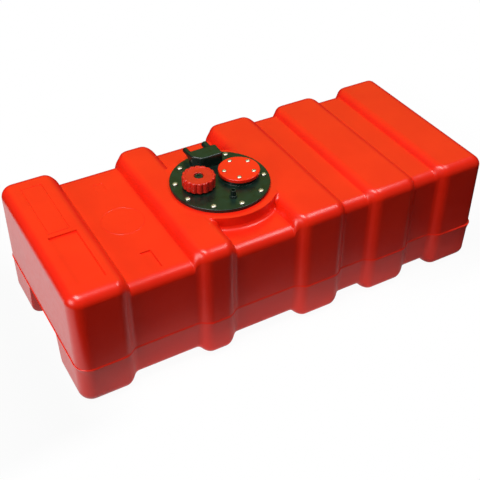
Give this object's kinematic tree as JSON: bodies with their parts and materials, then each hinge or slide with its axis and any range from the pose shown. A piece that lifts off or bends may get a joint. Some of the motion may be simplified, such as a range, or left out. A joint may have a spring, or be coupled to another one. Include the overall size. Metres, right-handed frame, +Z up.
{
  "type": "inboard fuel tank",
  "caption": "Ribbed red moulded boat fuel tank with a bolted black hatch plate that carries a screw filler cap, a blanked level sender port, fuel hose tails and a breather.",
  "frame": {"origin": "middle of the tank's footprint, on the floor", "axes": "+X along the tank towards the end with the narrow bays, +Y across it towards the hose tails, +Z up"},
  "size_m": [0.806, 0.356, 0.2601],
  "materials": {
    "tank_red": "glossy moulded polyethylene",
    "cap_red": "satin moulded nylon",
    "plate_black": "satin moulded nylon",
    "nitrile": "matte rubber",
    "stainless": "bright drawn stainless steel",
    "brass": "turned brass"
  },
  "bodies": {
    "tank": {"tank_shell": "tank_red", "threaded_inserts": "brass", "hatch_gasket": "nitrile", "hatch_plate": "plate_black", "hatch_screws": "stainless", "sender_gasket": "nitrile", "sender_cover": "cap_red", "cover_screws": "stainless", "fuel_connector": "plate_black", "connector_gasket": "nitrile", "connector_nuts": "brass", "pickup_tube": "stainless", "pickup_strainer": "brass", "return_tube": "stainless", "breather_nipple": "plate_black", "breather_seal": "nitrile"},
    "cap_seal": {"cap_gasket": "nitrile"},
    "filler_cap": {"filler_cap": "cap_red", "vent_seal": "nitrile"},
    "vent_screw": {"vent_screw": "plate_black"}
  },
  "joints": [
    {"name": "cap_lift", "type": "slide", "parent": "tank", "child": "cap_seal", "axis": [0, 0, 1], "range_m": [0, 0.048]},
    {"name": "cap_turn", "type": "hinge", "parent": "cap_seal", "child": "filler_cap", "pos_m": [-0.09975, -0.0095, 0.25], "axis": [0, 0, 1], "range_deg": [0, 2880]},
    {"name": "vent_turn", "type": "hinge", "parent": "filler_cap", "child": "vent_screw", "pos_m": [-0.09975, -0.0095, 0.256], "axis": [0, 0, 1], "range_deg": [0, 180]}
  ],
  "couplings": [
    {"joint": "cap_lift", "follows": "cap_turn", "m_per_rad": 0.00095493}
  ]
}
